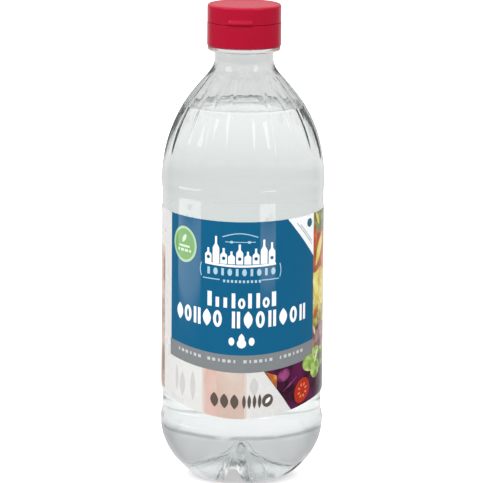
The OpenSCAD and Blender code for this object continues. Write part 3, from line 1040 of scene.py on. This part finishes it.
def makeEmblem():
    # A shelf of little bottles and jars on a curved rule, under a bow, with a row of beads in brackets below
    arcs = spread(-16.0, 14.2, 31)
    sag = np.cos(arcs / 16 * np.pi / 2)
    places = [-14.6, -11.2, -7.9, -4.6, -1.2, 2.2, 5.6, 9.0, 12.4]
    heights = [6.2, 11.4, 6.6, 5.4, 8.4, 5.4, 6.6, 10.2, 8.8]
    shelf = [bottleShape(place, 65.3, 2.9, tall) for place, tall in zip(places, heights)]
    addPrint("printShelf", shelf + [stroke(arcs, 65.0 - 0.5 * sag, 0.9)], 2, "White")
    panes = [disc(place, 67.6, 0.75, 0.75, size=7) for place in places[::2]]
    addPrint("printShelfMarks", panes, 3, "Blue")
    bowArcs = spread(-8.5, 6.5, 25)
    bow = stroke(bowArcs, 76.6 + 1.6 * np.cos((bowArcs + 1) / 7.5 * np.pi / 2), 0.4)
    lines = [flatStroke(-7.2, 5.4, 74.6, 0.3, 17), flatStroke(-17.0, -9.5, 58.5, 0.4)]
    lines.append(flatStroke(8.0, 15.6, 58.5, 0.4))
    gems = [disc(place, 74.6, 0.75, 0.55, size=7) for place in (-4.6, 2.8)]
    beads = [disc(-14.4 + 3.05 * k, 61.9, 0.95, 1.5, size=7) for k in range(1, 10, 2)]
    posts = [bar(-14.4 + 3.05 * k, 61.9, 1.1, 3.0) for k in range(0, 10, 2)]
    small = [bar(-7.6 + 1.65 * k, 58.1, 0.9, 1.1) for k in range(10)]
    bend = 16.6 + 0.8 * np.cos(spread(-1.2, 1.2, 15))
    brackets = [stroke(-0.9 + side * bend, 62.0 + 2.9 * spread(-1, 1, 15), 0.35) for side in (-1, 1)]
    addPrint("printRules", [bow] + lines + gems + beads + posts + small + brackets, 2, "PaleBlue")


def makeRows():
    # Two rows of plain beads, blocks and rings, where a name stands on such labels, and a drop below them
    upper, lower, holes = [], [], []
    for k in range(9):
        place = -13.9 + 3.42 * k
        if k in (0, 3, 5, 6, 8):
            upper.append(bar(place, 50.0, 1.9 if k in (0, 8) else 1.5, 6.2))
        elif k in (4, 7):
            upper.append(disc(place, 48.9, 1.5, 2.2, size=9))
            holes.append(disc(place, 48.9, 0.5, 1.1, size=7))
        else:
            upper.append(bar(place, 49.0, 1.5, 4.2))
    places = [-29.2 + 4.7 * k for k in range(5)] + [-2.6 + 5.1 * k for k in range(7)]
    for k, place in enumerate(places):
        middle = 41.2 + 0.8 * np.cos(place / 30 * np.pi / 2)
        if k % 3 == 1:
            lower.append(disc(place, middle, 1.9, 3.5, size=11))
            holes.append(disc(place, middle, 0.6, 2.0, size=7))
        elif k % 3 == 2:
            lower += [bar(place - 1.0, middle, 1.3, 7.0), bar(place + 1.1, middle, 1.3, 7.0)]
        else:
            lower.append(leaf(place, middle, 7.2, 3.6, 90))
    drop = [disc(-0.2, 32.0, 1.9, 1.9), leaf(-0.2, 34.0, 4.4, 2.5, 90)]
    dots = [disc(-0.2 + side * 4.2, 32.8, 1.2, 1.7, size=9) for side in (-1, 1)]
    addPrint("printWhiteRows", upper + lower + drop + dots, 2, "White")
    addPrint("printRowHoles", holes, 3, "Blue")


def makeDashes():
    # Small dashes on the grey band, and below it a dark row of leaves that ends in a ring
    dashes = [bar(-29.5 + 2.2 * k, 24.4, 1.3 if k % 3 else 0.7, 1.3) for k in range(28) if k % 7 != 6]
    leaves = [leaf(-11.6 + 4.3 * k, 7.3, 6.4, 3.4, 90) for k in range(3)]
    leaves += [leaf(1.0 + 2.2 * k, 7.3, 6.2, 1.5, 90) for k in range(4)]
    addPrint("printDashes", dashes, 2, "PaleGrey")
    addPrint("printDarkBlocks", leaves + [disc(11.0, 7.1, 2.4, 2.8, size=13)], 3, "Dark")
    addPrint("printMarkHole", [leaf(11.1, 7.2, 3.2, 1.5, 50)], 4, "White")


def makeBlush():
    # A pale warm patch in three steps, and pale grey leaves beside it
    low, top = level(0.0), level(front["greyLow"])
    addPrint("printBlushEdge", [field(-17.3, 2.1, low, top)], 1, "PaleBlush")
    addPrint("printBlush", [field(-16.4, 1.2, low, top)], 1.4, "Blush")
    addPrint("printBlushCore", [field(-15.4, -10.6, low, top)], 1.8, "DeepBlush")
    smears = [leaf(-31.2, 11.0, 12.0, 2.0, 90), leaf(-27.6, 9.5, 11.0, 3.2, 90)]
    smears += [leaf(-21.8, 10.5, 13.0, 2.6, 90), leaf(5.2, 13.6, 8.0, 3.6, 90)]
    addPrint("printSmears", smears, 1, "Smear")


def makeCorner():
    # A white corner whose lower edge falls from its left end to the field's right edge
    f = front
    left, drop = 20.1, 1.2
    corner = field(left, f["half"], lambda arc: f["top"] - 0.4 - drop * (arc - left), level(f["top"]))
    lines = []
    for start in (24.6, 26.6):
        arcs = spread(start, 34.0, 12)
        lines.append(stroke(arcs, 80.6 - 0.5 * (start - 24.6) - 1.15 * (arcs - start), 0.35))
    addPrint("printCorner", [corner], 2, "White")
    addPrint("printCornerLines", lines, 3, "LineGrey")
    addPrint("printCornerDot", [disc(32.4, 79.4, 1.7, 1.9)], 3, "Teal")


# The picture's strip of cut vegetables, each with its lowest and highest height
pictureStrip = dict(
    Leaves=(74, 83), Carrot=(57, 74), Pepper=(41, 57), Marrow=(32, 41), Onion=(22, 32), Salad=(12, 22))


def wavy(value, reach, shift):
    # value + reach sin(arc / 2.2 + shift)
    return lambda arc: value + reach * np.sin(arc / 2.2 + shift)


def wedgeSide(arc):
    # The picture's lower edge falls from the grey band to the label's edge
    return np.maximum(0.0, front["greyLow"] - 1.485 * (arc - 9.3))


def makePicture():
    # The strip's wavy fields with pieces strewn over them, and below them the dark corner of vegetables
    f = front
    end = f["pictureEnd"]
    for name, (low, top) in pictureStrip.items():
        topLine = level(top) if top == f["top"] else wavy(top, 0.9, top)
        addPrint("print" + name, [field(f["half"], end, wavy(low, 0.9, low), topLine)], 1, name)
    yellow = [leaf(41.5, 66.0, 16.0, 4.4, 62), leaf(39.5, 80.0, 7.0, 2.4, 118)]
    yellow += [disc(38.0, 50.5, 2.2, 4.6, 20), disc(44.5, 47.0, 3.4, 5.0, -15)]
    addPrint("printYellowPieces", yellow, 2, "Yellow")
    red = [leaf(37.4, 72.5, 9.0, 3.0, 100), disc(46.5, 60.0, 3.0, 4.0), leaf(38.2, 38.5, 7.0, 2.2, 50)]
    addPrint("printRedPieces", red, 3, "RedPieces")
    pale = [leaf(36.9, 44.0, 4.0, 1.0, 80), leaf(39.0, 19.0, 7.0, 1.6, 60), leaf(37.0, 30.0, 4.0, 1.0, 100)]
    addPrint("printPalePieces", pale, 4, "PalePieces")
    top = level(f["greyLow"])
    cabbage = [field(9.3, 22.5, wedgeSide, top), field(22.5, end, level(0), top)]
    addPrint("printCabbage", cabbage, 1, "Cabbage")
    squash = field(10.0, 15.0, lambda arc: wedgeSide(arc) + 0.4, lambda arc: 19.4 - 0.5 * (arc - 10.0))
    addPrint("printSquash", [squash], 2, "Squash")
    redOnion = [disc(18.2, 16.2, 3.2, 2.6, 20), leaf(21.5, 11.5, 9.0, 1.0, 32)]
    addPrint("printRedOnion", redOnion, 3, "RedOnion")
    lettuce = [disc(33.5, 17.0, 5.2, 3.6, -15, 15), disc(38.0, 13.0, 4.0, 4.0, 0, 15)]
    addPrint("printLettuce", lettuce, 3, "Lettuce")
    arc, height = 28.4, 6.6
    seeds = []
    for turn in spread(0.3, 5.8, 8):
        x, y = arc + 2.2 * np.cos(turn), height + 2.6 * np.sin(turn)
        seeds.append(disc(x, y, 0.45, 0.75, np.degrees(turn) - 90, 7))
    addPrint("printTomato", [disc(arc, height, 4.6, 5.4, -12, 17)], 4, "Tomato")
    addPrint("printTomatoSeeds", seeds, 4.5, "Seeds")


def makeBack():
    # A mottled strip past the left side, and the seam behind
    addPrint("printSideStrip", [field(-62, -42.6, level(2), level(66))], 1, "Tan")
    addPrint("printSeam", [field(92, 100, level(0.0), level(front["top"]))], 1, "White")


filmLook = dict(
    scale=120.0, shade=0.03, gloss=0.28, spread=0.08, specular=0.5, bump=0.05, bumpDepth=0.03 * mm)
filmColour = (0.64, 0.635, 0.62)
filmWhite = solidMaterial("filmWhite", filmColour, filmLook)
filmBack = solidMaterial("filmBack", filmColour, dict(filmLook, gloss=0.5, specular=0.3))
backShader = filmBack.node_tree.nodes["Principled BSDF"]
backShader.inputs["Emission Color"].default_value = (0.98, 1.0, 0.99, 1)
backShader.inputs["Emission Strength"].default_value = 0.8  # stands in for daylight through the thin film
makeFilm(filmWhite, filmBack)
makeFields()
makeBadge()
makeEmblem()
makeRows()
makeDashes()
makeCorner()
makeBlush()
makePicture()
makeBack()
print("label: film and print")
